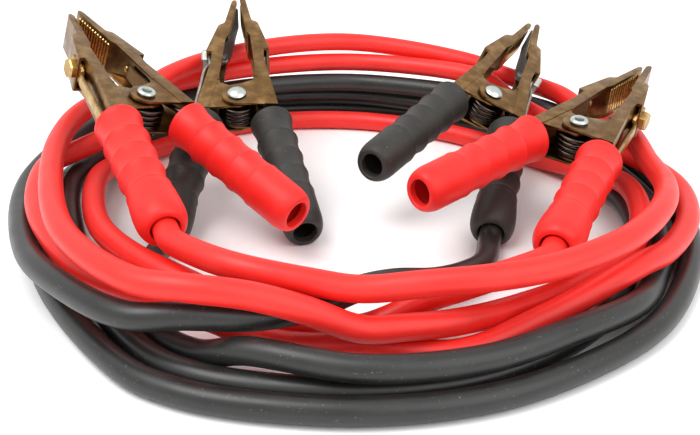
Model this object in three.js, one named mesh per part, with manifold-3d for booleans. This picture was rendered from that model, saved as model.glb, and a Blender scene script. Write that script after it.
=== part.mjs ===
// Car jumper cable set: two heavy leads, one red and one black, coiled together on a level floor.
// Each lead ends in two sprung clamps. Millimetres, +Z up, the floor is z = 0.
import * as THREE from 'three';
import Module from 'manifold-3d';

const wasm = await Module();
wasm.setup();

// Driving sizes of the cables
const cableDiameter = 12;
const cableSides = 10;
const cableLead = 7;
const redSteps = 78;
const blackSteps = 80;

// Driving sizes of a clamp, in its own frame: the pivot is the origin,
// +Y runs to the jaw tips, +X to the right as seen from above, +Z along the pivot rivet
const sheet = 2;
const seatGap = 0.3;
const channelHeight = 20.6;
const jawLength = 97.4;
const tipGap = 1.8;
const tipWidth = 3.4;
const neckY = 73;
const neckX = 8.4;
const shoulderX = 13.2;
const shoulderY = 67;
const stepY = 42.8;
const stepX = 19.4;
const webX = 22.1;
const webLean = 0.182;
const stripWidth = 7.6;
const earTopY = 14;
const earLowY = -10;
const earRadius = 8.6;
const toothLowY = 60;
const toothLowX = 5.6;
const toothCount = 10;
const toothDepth = 0.9;

// Driving sizes of the handles and grips
const handleEndY = -86;
const handleHeight = 17;
const handleDepth = 8;
const gripRimX = 19.9;
const gripRimY = -14.7;
const gripEndX = 36.3;
const gripEndY = -101.5;
const gripAcross = 11.6;
const gripTall = 12.6;
const gripWall = 1.8;
const gripLip = 0.9;
const gripRibs = 6;
const gripRibDepth = 0.5;
const gripHole = 5;
const gripSides = 16;
const gripPull = 6;

// Driving sizes of the fastenings, the spring, the lug and the strap
const rivetShaft = 3;
const rivetHead = 5.4;
const rivetDome = 2.4;
const rivetHollow = 2.3;
const springRadius = 9.6;
const springWire = 2.6;
const springTurns = 3;
const springLeg = 22;
const springSplay = 0.43;
const boltY = 47.6;
const boltShaft = 2.8;
const boltAcrossFlats = 10;
const boltHeadHeight = 4;
const boltTail = 9;
const seatX = 16;
const seatTop = 53;
const lugThick = 2;
const lugWide = 11;
const lugLength = 13;
const lugStripWide = 7;
const lugBow = 3.2;
const strapThick = 2.4;
const strapTall = 9;
const strapRivet = 2;

// Colours from the photograph
const red = new THREE.MeshStandardMaterial({ color: '#f23c34', roughness: 0.6, metalness: 0 });
const black = new THREE.MeshStandardMaterial({ color: '#3c3c39', roughness: 0.65, metalness: 0 });
const plated = new THREE.MeshStandardMaterial({ color: '#7d6340', roughness: 0.4, metalness: 0.85 });
const zinc = new THREE.MeshStandardMaterial({ color: '#b4bab6', roughness: 0.35, metalness: 0.9 });
const yellowZinc = new THREE.MeshStandardMaterial({ color: '#c8a860', roughness: 0.35, metalness: 0.9 });
const springSteel = new THREE.MeshStandardMaterial({ color: '#2a2422', roughness: 0.35, metalness: 0.7 });
const tinnedBraid = new THREE.MeshStandardMaterial({ color: '#4f534f', roughness: 0.7, metalness: 0.6 });
const bronzeBraid = new THREE.MeshStandardMaterial({ color: '#7a6440', roughness: 0.6, metalness: 0.6 });

// Where each clamp lies: its pivot, and its yaw, pitch and roll in degrees
const clamps = [
  { name: 'red_left', cableSide: -1, grip: red, bolt: yellowZinc, strap: bronzeBraid, hollowUp: true,
    pivot: [-117.76, -25.63, 62.6], yaw: 34.3, pitch: 14.8, roll: 10.3 },
  { name: 'black_left', cableSide: -1, grip: black, bolt: zinc, strap: tinnedBraid, hollowUp: false,
    pivot: [-72.36, 30.37, 46.4], yaw: 3.5, pitch: 21.6, roll: 0.1 },
  { name: 'black_right', cableSide: 1, grip: black, bolt: zinc, strap: tinnedBraid, hollowUp: false,
    pivot: [76.74, 39.57, 45.95], yaw: -24.5, pitch: 12.5, roll: 24.3 },
  { name: 'red_right', cableSide: 1, grip: red, bolt: yellowZinc, strap: bronzeBraid, hollowUp: true,
    pivot: [115.44, -26.13, 49], yaw: -37, pitch: 5.7, roll: 6.3 },
];

// Routes of the two cables from one clamp to the other, as [degrees, radius, height]
// about the middle of the coil: 0 is to the right, 90 to the back, 270 to the front
const coilMiddle = [-4.96, -15.53];
const redRoute = [
  [240, 148, 41], [250, 154, 42], [262, 152, 38], [270, 151, 35], [280, 154, 38], [290, 161, 41],
  [300, 165, 42], [315, 168, 43], [330, 168, 42], [345, 167, 37], [0, 166, 33], [15, 171, 36],
  [30, 171, 35], [37, 173, 38], [45, 174, 39], [52, 171, 42], [60, 166, 48], [90, 160, 56.5],
  [120, 149, 56.3], [150, 140, 52], [165, 146, 33], [172, 157, 29], [180, 167, 29], [195, 169, 29],
  [210, 170, 28.5], [225, 171, 25], [240, 165, 22.5], [247, 160, 18], [255, 155, 9],
  [262, 152, 6.5], [270, 150, 7], [285, 161, 7], [300, 160, 13.5], [315, 165, 21], [322, 169, 23],
  [330, 174, 21], [345, 181, 20], [0, 183, 19.5], [15, 170, 22], [30, 150, 28], [37, 147, 31],
  [45, 146, 36.5], [52, 148.5, 43], [60, 151, 44.3], [90, 155, 43.7], [120, 152, 43.7], [150, 158, 43],
  [165, 161, 46], [180, 161, 43], [210, 166, 42], [225, 176, 42], [240, 184, 43], [247, 181, 44],
  [255, 172, 40], [262, 165, 32], [270, 159, 20.5], [277, 157, 19.5], [285, 154.5, 18],
  [300, 145, 12], [315, 150, 14], [330, 157, 19.5], [345, 157, 20], [0, 154, 19.5], [15, 143, 13],
  [30, 138, 6.6], [60, 134, 6.6], [90, 140, 6.3], [120, 147, 6.3], [150, 145, 8], [165, 143, 14],
  [180, 142, 20], [210, 145, 26], [225, 148, 27], [240, 150, 26], [247, 147, 20], [255, 143, 14],
  [262, 138.5, 7.5], [270, 136, 7], [276, 136, 12], [282, 138.5, 21],
  [288, 144.5, 28.5],
];
const blackRoute = [
  [215, 123, 7], [225, 142, 7], [232, 157, 6.5], [240, 167.5, 6.3], [247, 172, 8],
  [255, 179, 18.7], [270, 186, 19.2], [285, 185, 18.8], [300, 180, 18.5], [315, 178, 14],
  [330, 171.5, 6.6], [345, 171, 6.3], [0, 171, 6.3], [15, 168, 8.5], [30, 163, 16.5], [37, 158, 19],
  [45, 154, 18.7], [60, 151, 18.4], [90, 158, 18.7], [120, 162, 18.7], [150, 160, 16],
  [165, 158, 15.5], [180, 157, 16], [210, 157, 17], [225, 166, 9], [240, 180.3, 6.3],
  [247, 184.5, 6.3], [255, 184.5, 6.3], [270, 183, 6.3], [285, 180, 6.3], [300, 173, 6.3],
  [315, 166, 6.3], [330, 157, 6.3], [345, 157, 6.3], [0, 157.5, 6.3], [15, 155, 6.3],
  [30, 155, 6.3], [45, 158, 6.3], [60, 163, 6.3], [90, 165, 6.3], [120, 171, 6.3], [150, 173, 6.3],
  [180, 169, 6.3], [210, 174, 6.3], [240, 194, 6.3], [247, 197.5, 6.3], [255, 197.5, 6.3],
  [270, 196, 6.3], [285, 194, 6.3], [300, 190, 6.3], [315, 188.5, 6.3], [330, 185, 6.3],
  [345, 184.5, 6.6], [0, 184.5, 6.3], [15, 182, 10], [30, 176, 20], [37, 170, 26], [45, 160, 29.5],
  [52, 155, 30], [60, 148, 31.2], [90, 149, 31], [120, 151, 31], [150, 166, 29], [165, 174, 24], [180, 180, 18],
  [210, 181, 22], [225, 186, 27], [240, 190, 30], [247, 180, 30.5], [255, 166, 27], [262, 150.5, 25],
  [270, 131, 24], [278, 120, 21], [288, 115, 16.5], [298, 109, 13], [308, 102, 10],
];

// Solid work: a closed three.js geometry becomes a manifold solid and comes back as a geometry

function solid(geometry) {
  const plain = geometry.clone();
  plain.deleteAttribute('normal');
  plain.deleteAttribute('uv');
  const merged = mergeCorners(plain);
  return new wasm.Manifold(new wasm.Mesh({
    numProp: 3,
    vertProperties: merged.points,
    triVerts: merged.triangles,
  }));
}

function mergeCorners(geometry) {
  const source = geometry.attributes.position;
  const count = geometry.index ? geometry.index.count : source.count;
  const places = new Map();
  const points = [];
  const triangles = [];
  for (let i = 0; i < count; i += 1) {
    const corner = geometry.index ? geometry.index.getX(i) : i;
    const place = [source.getX(corner), source.getY(corner), source.getZ(corner)];
    const key = place.map((value) => Math.round(value * 1e4)).join(' ');
    if (!places.has(key)) {
      places.set(key, points.length / 3);
      points.push(...place);
    }
    triangles.push(places.get(key));
  }
  const kept = [];
  for (let i = 0; i < triangles.length; i += 3) {
    const [a, b, c] = triangles.slice(i, i + 3);
    if (a !== b && b !== c && a !== c) kept.push(a, b, c);
  }
  return { points: new Float32Array(points), triangles: new Uint32Array(kept) };
}

function geometryOf(body) {
  const mesh = body.getMesh();
  const geometry = new THREE.BufferGeometry();
  geometry.setAttribute('position', new THREE.BufferAttribute(new Float32Array(mesh.vertProperties), 3));
  geometry.setIndex(new THREE.BufferAttribute(new Uint32Array(mesh.triVerts), 1));
  const loose = geometry.toNonIndexed();
  loose.computeVertexNormals();
  return loose;
}

function join(geometries) {
  return geometries.map(solid).reduce((whole, next) => whole.add(next));
}

// A flat outline in X and Y, raised from one height to another
function slab(outline, low, high) {
  const shape = new THREE.Shape(outline.map(([x, y]) => new THREE.Vector2(x, y)));
  const geometry = new THREE.ExtrudeGeometry(shape, { depth: high - low, bevelEnabled: false });
  geometry.translate(0, 0, low);
  return geometry;
}

// A round bar from one point to another
function bar(radius, from, to, sides) {
  const start = new THREE.Vector3(...from);
  const end = new THREE.Vector3(...to);
  const along = end.clone().sub(start);
  const geometry = new THREE.CylinderGeometry(radius, radius, along.length(), sides);
  const turn = new THREE.Quaternion().setFromUnitVectors(new THREE.Vector3(0, 1, 0), along.clone().normalize());
  geometry.applyQuaternion(turn);
  geometry.translate(...start.add(end).multiplyScalar(0.5).toArray());
  return geometry;
}

// The distance of the outer face of a web from the clamp's centre line at a given Y
function webAt(y) {
  return Math.max(webX - webLean * y, seatX);
}

// Where the leaning web turns upright to make the seat for the bolt
const seatLow = (webX - seatX) / webLean;

// Jaws

// The flat cheek of a jaw: tip, wing, step, strip and ear, for the right-hand side
function cheekOutline() {
  const earEnd = [];
  for (let i = 0; i <= 8; i += 1) {
    const angle = Math.PI * (0.62 + 0.88 * (i / 8));
    earEnd.push([earRadius * Math.cos(angle), earRadius * Math.sin(angle)]);
  }
  const tipMid = tipGap / 2 + tipWidth / 2;
  return [
    [tipGap / 2, jawLength - 3],
    [tipMid - 0.6, jawLength],
    [tipMid + 0.8, jawLength],
    [tipGap / 2 + tipWidth + 0.3, jawLength - 3],
    [neckX, neckY],
    [shoulderX - 2.4, shoulderY + 4.2],
    [shoulderX, shoulderY],
    [stepX, stepY],
    [seatX, stepY],
    [seatX, seatLow],
    [webAt(earLowY), earLowY],
    [0, earLowY + 1.2],
    ...earEnd.reverse(),
    [webAt(earTopY) - stripWidth, earTopY],
    [seatX - stripWidth + 1, seatLow + 1],
    [toothLowX + sheet, toothLowY - 4],
    [toothLowX, toothLowY],
  ];
}

// The web: up the outside of the strip, in behind the step, then the toothed gripping face
function webOutline() {
  const outer = [
    [webAt(earLowY), earLowY],
    [seatX, seatLow],
    [seatX, seatTop],
    [toothLowX + sheet + 1, toothLowY + 1],
    [tipGap / 2 + sheet, jawLength - 3.4],
    [tipGap / 2, jawLength - 3.4],
  ];
  const teeth = [];
  for (let i = toothCount; i > 0; i -= 1) {
    const high = (i - 0.1) / toothCount;
    const low = (i - 0.9) / toothCount;
    const root = tipGap / 2 + toothDepth;
    const lean = toothLowX - tipGap / 2;
    const span = jawLength - 5 - toothLowY;
    teeth.push([root + lean * (1 - high), toothLowY + span * high]);
    teeth.push([root + lean * (1 - (high + low) / 2) - toothDepth, toothLowY + span * ((high + low) / 2)]);
    teeth.push([root + lean * (1 - low), toothLowY + span * low]);
  }
  const inner = [
    [toothLowX + 0.6, toothLowY - 0.6],
    [seatX - sheet, seatTop - 1.2],
    [seatX - sheet, seatLow - 0.2],
    [webAt(earLowY) - sheet, earLowY],
  ];
  return [...outer, ...teeth, ...inner];
}

// The narrow channel that the handle continues as, inside the grip
function handleParts() {
  const top = handleHeight / 2;
  const outline = [
    [webAt(earLowY + 3), earLowY + 3],
    [webAt(handleEndY), handleEndY],
    [webAt(handleEndY) - handleDepth, handleEndY],
    [webAt(earLowY + 3) - handleDepth, earLowY + 3],
  ];
  const web = [
    outline[0],
    outline[1],
    [webAt(handleEndY) - sheet, handleEndY],
    [webAt(earLowY + 3) - sheet, earLowY + 3],
  ];
  return [slab(web, -top, top), slab(outline, top - sheet, top), slab(outline, -top, -top + sheet)];
}

function mirrored(outline, side) {
  return outline.map(([x, y]) => [side * x, y]);
}

function jaw(side) {
  const lift = side * (sheet + seatGap) / 2;
  const high = channelHeight / 2 + lift;
  const low = -channelHeight / 2 + lift;
  const cheek = mirrored(cheekOutline(), side);
  const web = mirrored(webOutline(), side);
  const plates = [
    slab(cheek, high - sheet, high),
    slab(cheek, low, low + sheet),
    slab(web, low + 0.01, high - 0.01),
  ];
  const handle = handleParts().map((part) => {
    if (side > 0) return part;
    return new THREE.BufferGeometry().copy(part).rotateY(Math.PI);
  });
  return join([...plates, ...handle]);
}

function hole(radius, from, to) {
  return solid(bar(radius, from, to, 14));
}

// The rivet hole goes through both ears, and the bolt or strap rivet hole through the web
function drilledJaw(side, fastener) {
  const pivotHole = hole(rivetShaft + seatGap, [0, 0, -20], [0, 0, 20]);
  const edge = webAt(boltY);
  const sideHole = hole(fastener + seatGap, [side * (edge - 16), boltY, 0], [side * (edge + 8), boltY, 0]);
  return jaw(side).subtract(pivotHole).subtract(sideHole);
}

// Grips: a ribbed sleeve with a rolled rim and a rounded end with a hole

function gripProfile(length) {
  const wall = gripWall / gripAcross;
  const lip = gripLip / gripAcross;
  const hole = gripHole / gripAcross;
  const groove = gripRibDepth / gripAcross;
  const ribs = [];
  const start = gripPull;
  const stop = length - 15;
  for (let i = 0; i < gripRibs; i += 1) {
    const at = start + (stop - start) * (i / gripRibs);
    ribs.push([1, -at], [1 - groove, -(at + 1.5)]);
  }
  return [
    [1 - wall, 0],
    [1 + lip * 0.6, 0],
    [1 + lip, -1.6],
    ...ribs,
    [1, -stop],
    [0.98, -(length - 8)],
    [0.8, -(length - 1.5)],
    [hole + 0.1, -length],
    [hole, -(length - 1)],
    [hole, -(length - 5)],
    [1 - wall - 0.04, -(length - 11)],
  ];
}

function grip(side) {
  const rim = new THREE.Vector2(side * gripRimX, gripRimY);
  const end = new THREE.Vector2(side * gripEndX, gripEndY);
  const length = rim.distanceTo(end);
  const profile = gripProfile(length).map(([x, y]) => new THREE.Vector2(x, y));
  profile.push(profile[0].clone());
  const geometry = new THREE.LatheGeometry(profile.reverse(), gripSides);
  geometry.scale(gripAcross, 1, gripTall);
  geometry.rotateZ(side * Math.atan2(gripEndX - gripRimX, gripRimY - gripEndY));
  geometry.translate(rim.x, rim.y, 0);
  return geometryOf(solid(geometry));
}

// Pivot rivet: one end domed, the other rolled over and hollow

function rivet(hollowUp) {
  const reach = (channelHeight + sheet + seatGap) / 2 + seatGap;
  const points = [
    [0, reach + rivetDome],
    [rivetHead * 0.55, reach + rivetDome * 0.85],
    [rivetHead * 0.9, reach + rivetDome * 0.4],
    [rivetHead, reach],
    [rivetShaft, reach],
    [rivetShaft, -reach],
    [rivetHead * 0.86, -reach],
    [rivetHead * 0.86, -reach - 1],
    [rivetHead * 0.62, -reach - 1.8],
    [rivetHollow, -reach - 1.2],
    [rivetHollow, -reach + 3],
    [0, -reach + 3],
  ];
  const profile = points.map(([x, y]) => new THREE.Vector2(x, y)).reverse();
  const geometry = new THREE.LatheGeometry(profile, 14);
  geometry.rotateX(hollowUp ? -Math.PI / 2 : Math.PI / 2);
  return geometryOf(solid(geometry));
}

// Torsion spring round the rivet, its two legs lying in the handles

class SpringPath extends THREE.Curve {
  getPoint(t) {
    const sweep = springTurns * 2 * Math.PI + Math.PI - 2 * springSplay;
    const coil = sweep * springRadius;
    const along = t * (coil + 2 * springLeg);
    const climb = (springWire + seatGap) * sweep / (2 * Math.PI);
    const begin = Math.PI - springSplay;
    if (along < springLeg) return this.onCoil(begin, -climb / 2, along - springLeg);
    if (along > springLeg + coil) return this.onCoil(begin - sweep, climb / 2, along - springLeg - coil);
    const share = (along - springLeg) / coil;
    return this.onCoil(begin - share * sweep, climb * (share - 0.5), 0);
  }

  onCoil(angle, height, overrun) {
    return new THREE.Vector3(
      springRadius * Math.cos(angle) + overrun * Math.sin(angle),
      springRadius * Math.sin(angle) - overrun * Math.cos(angle),
      height,
    );
  }
}

function roundSection(radius, sides) {
  const shape = new THREE.Shape();
  for (let i = 0; i < sides; i += 1) {
    const angle = 2 * Math.PI * (i + 0.5) / sides;
    const place = [radius * Math.cos(angle), radius * Math.sin(angle)];
    if (i === 0) shape.moveTo(...place);
    else shape.lineTo(...place);
  }
  shape.closePath();
  return shape;
}

function spring() {
  return new THREE.ExtrudeGeometry(roundSection(springWire / 2, 6), {
    steps: 48, bevelEnabled: false, extrudePath: new SpringPath(),
  });
}

// Hex bolt through the web of the cable side's jaw, its head on the lug

function bolt(side) {
  const edge = webAt(boltY);
  const seat = edge + lugThick + 2 * seatGap;
  const headRadius = boltAcrossFlats / Math.sqrt(3);
  const shaft = bar(boltShaft, [side * (edge - boltTail), boltY, 0], [side * (seat + 1), boltY, 0], 16);
  const head = bar(headRadius, [side * seat, boltY, 0], [side * (seat + boltHeadHeight), boltY, 0], 6);
  return geometryOf(join([shaft, head]));
}

// Cable lug: a palm under the bolt head, bent out and running down into the grip

function lug(side) {
  const edge = webAt(boltY);
  const inner = edge + seatGap;
  const palmLow = boltY - lugLength + 6;
  const palm = [
    [inner, boltY + 6],
    [inner + lugThick, boltY + 6],
    [inner + lugThick, palmLow],
    [inner, palmLow],
  ];
  const lowY = gripRimY - 6;
  const strip = [
    [inner, palmLow + 1],
    [inner + lugThick, palmLow + 1],
    [webAt(palmLow - 7) + lugBow + lugThick, palmLow - 7],
    [webAt(lowY) + 1 + lugThick, lowY],
    [webAt(lowY) + 1, lowY],
    [webAt(palmLow - 7) + lugBow, palmLow - 7],
  ];
  const body = join([
    slab(mirrored(palm, side), -lugWide / 2, lugWide / 2),
    slab(mirrored(strip, side), -lugStripWide / 2, lugStripWide / 2),
  ]);
  const drill = hole(boltShaft + seatGap, [side * (edge - 4), boltY, 0], [side * (edge + 8), boltY, 0]);
  return geometryOf(body.subtract(drill));
}

// Braided strap that carries the current from one jaw to the other, in a loose U above the spring

function strapLine() {
  const clear = sheet + seatGap + strapThick / 2;
  const top = boltY - boltShaft - 1.4;
  return [[seatX - clear, top], [seatX - clear, seatLow], [webAt(22) - clear - 0.3, 22], [9, 15.6], [0, 14.6]];
}

function strap() {
  const half = strapLine();
  const line = [...half.map(([x, y]) => [-x, y]), ...half.slice(0, -1).reverse()];
  const curve = new THREE.SplineCurve(line.map(([x, y]) => new THREE.Vector2(x, y)));
  const count = 22;
  const outside = [];
  const inside = [];
  for (let i = 0; i <= count; i += 1) {
    const place = curve.getPoint(i / count);
    const along = curve.getTangent(i / count);
    const across = new THREE.Vector2(-along.y, along.x).multiplyScalar(strapThick / 2);
    outside.push([place.x + across.x, place.y + across.y]);
    inside.push([place.x - across.x, place.y - across.y]);
  }
  return slab([...outside, ...inside.reverse()], -strapTall / 2, strapTall / 2);
}

function strapPin(side) {
  const edge = webAt(boltY);
  const shaft = bar(strapRivet, [side * (edge - 4.2), boltY, 0], [side * (edge + 0.5), boltY, 0], 10);
  const head = bar(strapRivet * 1.7, [side * (edge + seatGap), boltY, 0], [side * (edge + 1.5), boltY, 0], 10);
  return geometryOf(join([shaft, head]));
}

// Cables: each follows its own route by a smooth curve

function gripEnd(spec, beyond) {
  const slope = Math.atan2(gripEndX - gripRimX, gripRimY - gripEndY);
  const local = new THREE.Vector3(
    spec.cableSide * (gripEndX + beyond * Math.sin(slope)), gripEndY - beyond * Math.cos(slope), 0);
  return local.applyEuler(clampTurn(spec)).add(new THREE.Vector3(...spec.pivot)).toArray();
}

function routePoints(from, route, to) {
  const stations = route.map(([degrees, radius, height]) => {
    const angle = degrees * Math.PI / 180;
    return [coilMiddle[0] + radius * Math.cos(angle), coilMiddle[1] + radius * Math.sin(angle), height];
  });
  return [
    gripEnd(from, seatGap), gripEnd(from, cableLead), ...stations,
    gripEnd(to, cableLead), gripEnd(to, seatGap),
  ];
}

function cable(points, steps) {
  const curve = new THREE.CatmullRomCurve3(
    points.map((point) => new THREE.Vector3(...point)), false, 'centripetal');
  curve.arcLengthDivisions = 2000;
  return new THREE.ExtrudeGeometry(roundSection(cableDiameter / 2, cableSides), {
    steps, bevelEnabled: false, extrudePath: curve,
  });
}

function addMesh(group, name, geometry, material) {
  const mesh = new THREE.Mesh(geometry, material);
  mesh.name = name;
  group.add(mesh);
}

function clampTurn(spec) {
  const degree = Math.PI / 180;
  return new THREE.Euler(spec.pitch * degree, spec.roll * degree, spec.yaw * degree, 'ZXY');
}

function addClamp(set, spec) {
  const clamp = new THREE.Group();
  clamp.rotation.copy(clampTurn(spec));
  clamp.position.set(...spec.pivot);
  const side = spec.cableSide;
  addMesh(clamp, `${spec.name}_cable_jaw`, geometryOf(drilledJaw(side, boltShaft)), plated);
  addMesh(clamp, `${spec.name}_free_jaw`, geometryOf(drilledJaw(-side, strapRivet)), plated);
  addMesh(clamp, `${spec.name}_rivet`, rivet(spec.hollowUp), zinc);
  addMesh(clamp, `${spec.name}_spring`, spring(), springSteel);
  addMesh(clamp, `${spec.name}_cable_grip`, grip(side), spec.grip);
  addMesh(clamp, `${spec.name}_free_grip`, grip(-side), spec.grip);
  addMesh(clamp, `${spec.name}_bolt`, bolt(side), spec.bolt);
  addMesh(clamp, `${spec.name}_lug`, lug(side), spec.bolt);
  addMesh(clamp, `${spec.name}_strap`, strap(), spec.strap);
  addMesh(clamp, `${spec.name}_strap_pin`, strapPin(-side), spec.bolt);
  set.add(clamp);
}

const jumperSet = new THREE.Group();
for (const spec of clamps) addClamp(jumperSet, spec);
const [redLeft, blackLeft, blackRight, redRight] = clamps;
addMesh(jumperSet, 'red_cable', cable(routePoints(redLeft, redRoute, redRight), redSteps), red);
addMesh(jumperSet, 'black_cable', cable(routePoints(blackLeft, blackRoute, blackRight), blackSteps), black);

export default jumperSet;
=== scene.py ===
"""Car jumper cable set: the finished look of two leads and four sprung battery clamps."""

import math

import bmesh
import bpy
import numpy as np
from mathutils import Matrix, Vector


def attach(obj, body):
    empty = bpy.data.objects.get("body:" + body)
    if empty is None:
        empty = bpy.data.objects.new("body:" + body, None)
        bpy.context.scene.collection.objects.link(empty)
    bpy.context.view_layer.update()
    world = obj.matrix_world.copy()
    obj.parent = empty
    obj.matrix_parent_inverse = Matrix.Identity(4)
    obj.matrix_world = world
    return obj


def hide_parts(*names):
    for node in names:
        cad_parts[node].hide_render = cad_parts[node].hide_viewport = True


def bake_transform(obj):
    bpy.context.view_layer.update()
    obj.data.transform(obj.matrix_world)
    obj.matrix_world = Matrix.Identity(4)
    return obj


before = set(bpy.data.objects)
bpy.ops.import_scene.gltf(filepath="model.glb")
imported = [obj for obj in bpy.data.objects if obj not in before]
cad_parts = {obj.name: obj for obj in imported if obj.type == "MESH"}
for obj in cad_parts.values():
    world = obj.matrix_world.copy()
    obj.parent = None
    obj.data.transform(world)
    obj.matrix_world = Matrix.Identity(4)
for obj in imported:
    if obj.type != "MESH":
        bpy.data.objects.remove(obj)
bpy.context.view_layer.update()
MM = 0.001
SHARP_ANGLE = 35

# Camera, fitted to the photograph: the eye is in millimetres, the angles in degrees
EYE = (-20.7, -517.2, 232.6)
LOOK_DOWN = 25.17
LOOK_RIGHT = 1.7
CAMERA_ROLL = 1.14
FOCAL_PIXELS = 968.1
PICTURE_WIDTH = 700
SENSOR = 36.0

# Cables
CABLE_WIDE = 12.0
CABLE_LEAD = 7.0
SEAT_GAP = 0.3
COIL_MIDDLE = (-4.96, -15.53)
RED_ROUTE = [
    (240, 148, 41), (250, 154, 42), (262, 152, 38), (270, 151, 35), (280, 154, 38),
    (290, 161, 41), (300, 165, 42), (315, 168, 43), (330, 168, 42), (345, 167, 37), (0, 166, 33),
    (15, 171, 36), (30, 171, 35), (37, 173, 38), (45, 174, 39), (52, 171, 42), (60, 166, 48),
    (90, 160, 56.5), (120, 149, 56.3), (150, 140, 52), (165, 146, 33), (172, 157, 29),
    (180, 167, 29), (195, 169, 29), (210, 170, 28.5), (225, 171, 25), (240, 165, 22.5),
    (247, 160, 18), (255, 155, 9), (262, 152, 6.5), (270, 150, 7), (285, 161, 7),
    (300, 160, 13.5), (315, 165, 21), (322, 169, 23), (330, 174, 21), (345, 181, 20),
    (0, 183, 19.5), (15, 170, 22), (30, 150, 28), (37, 147, 31), (45, 146, 36.5), (52, 148.5, 43),
    (60, 151, 44.3), (90, 155, 43.7), (120, 152, 43.7), (150, 158, 43), (165, 161, 46),
    (180, 161, 43), (210, 166, 42), (225, 176, 42), (240, 184, 43), (247, 181, 44),
    (255, 172, 40), (262, 165, 32), (270, 159, 20.5), (277, 157, 19.5), (285, 154.5, 18),
    (300, 145, 12), (315, 150, 14), (330, 157, 19.5), (345, 157, 20), (0, 154, 19.5),
    (15, 143, 13), (30, 138, 6.6), (60, 134, 6.6), (90, 140, 6.3), (120, 147, 6.3), (150, 145, 8),
    (165, 143, 14), (180, 142, 20), (210, 145, 26), (225, 148, 27), (240, 150, 26),
    (247, 147, 20), (255, 143, 14), (262, 138.5, 7.5), (270, 136, 7), (276, 136, 12),
    (282, 138.5, 21), (288, 144.5, 28.5),
]
BLACK_ROUTE = [
    (215, 123, 7), (225, 142, 7), (232, 157, 6.5), (240, 167.5, 6.3), (247, 172, 8),
    (255, 179, 18.7), (270, 186, 19.2), (285, 185, 18.8), (300, 180, 18.5), (315, 178, 14),
    (330, 171.5, 6.6), (345, 171, 6.3), (0, 171, 6.3), (15, 168, 8.5), (30, 163, 16.5),
    (37, 158, 19), (45, 154, 18.7), (60, 151, 18.4), (90, 158, 18.7), (120, 162, 18.7),
    (150, 160, 16), (165, 158, 15.5), (180, 157, 16), (210, 157, 17), (225, 166, 9),
    (240, 180.3, 6.3), (247, 184.5, 6.3), (255, 184.5, 6.3), (270, 183, 6.3), (285, 180, 6.3),
    (300, 173, 6.3), (315, 166, 6.3), (330, 157, 6.3), (345, 157, 6.3), (0, 157.5, 6.3),
    (15, 155, 6.3), (30, 155, 6.3), (45, 158, 6.3), (60, 163, 6.3), (90, 165, 6.3),
    (120, 171, 6.3), (150, 173, 6.3), (180, 169, 6.3), (210, 174, 6.3), (240, 194, 6.3),
    (247, 197.5, 6.3), (255, 197.5, 6.3), (270, 196, 6.3), (285, 194, 6.3), (300, 190, 6.3),
    (315, 188.5, 6.3), (330, 185, 6.3), (345, 184.5, 6.6), (0, 184.5, 6.3), (15, 182, 10),
    (30, 176, 20), (37, 170, 26), (45, 160, 29.5), (52, 155, 30), (60, 148, 31.2), (90, 149, 31),
    (120, 151, 31), (150, 166, 29), (165, 174, 24), (180, 180, 18), (210, 181, 22),
    (225, 186, 27), (240, 190, 30), (247, 180, 30.5), (255, 166, 27), (262, 150.5, 25),
    (270, 131, 24), (278, 120, 21), (288, 115, 16.5), (298, 109, 13), (308, 102, 10),
]

# Clamps: where each one lies, in millimetres and degrees, and what it is fitted with
CLAMPS = [
    {"name": "red_left", "side": -1, "grip": "red", "pivot": (-117.76, -25.63, 62.6),
     "turn": (34.3, 14.8, 10.3)},
    {"name": "black_left", "side": -1, "grip": "black", "pivot": (-72.36, 30.37, 46.4),
     "turn": (3.5, 21.6, 0.1)},
    {"name": "black_right", "side": 1, "grip": "black", "pivot": (76.74, 39.57, 45.95),
     "turn": (-24.5, 12.5, 24.3)},
    {"name": "red_right", "side": 1, "grip": "red", "pivot": (115.44, -26.13, 49.0),
     "turn": (-37.0, 5.7, 6.3)},
]

# Sheet-steel jaw, in the clamp's own frame: +Y to the tips, +X to the right, pivot at zero
SHEET = 1.8
CHANNEL = 20.6
HANDLE_TALL = 16.4
HANDLE_DEEP = 8.0
HANDLE_GAP = 0.05
JAW_END = 97.4
HANDLE_END = -84.0
WEB_X = 22.1
WEB_LEAN = 0.182
SEAT_X = 16.0
STEP_Y = 42.8
EAR_ROUND = 8.6
EAR_FRONT = -7.6
STRIP_WIDE = 7.6
FOLD_ROUND = 1.1
EDGE_ROUND = 0.22
BITE_LOW = 61.0
BITE_HIGH = 92.0
BITE_RIDGES = 12

# Grip
GRIP_RIM = (19.9, -14.7)
GRIP_END = (36.3, -101.5)
GRIP_WIDE = 11.6
GRIP_TALL = 12.6
GRIP_LINES = (18.0, 32.5, 46.5, 60.5)
GRIP_LINE_TALL = 0.45
GRIP_LINE_WIDE = 0.6
GRIP_ROUND = 9.0
GRIP_HOLLOW = 0.83
CABLE_HOLE = (6.9, 6.9)
OPEN_HOLE = (6.3, 7.2)

# Fastenings, spring and straps
RIVET_HEAD = 5.4
SPRING_ROUND = 9.6
SPRING_WIRE = 1.35
SPRING_TURNS = 4
SPRING_SPLAY = 0.43
SPRING_LEG = 22.0
BOLT_Y = 47.6
BOLT_FLATS = 10.0
BOLT_HEAD = 4.0
LUG_THICK = 2.0

# Studio, in metres and watts
FLOOR_REACH = 30.0
WORLD_STRENGTH = 1.0
KEY_PLACE = (-0.7, -0.5, 1.5)
KEY_SIZE = 1.1
KEY_POWER = 17
FILL_PLACE = (0.9, -0.9, 1.0)
FILL_SIZE = 1.6
FILL_POWER = 9


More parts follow.
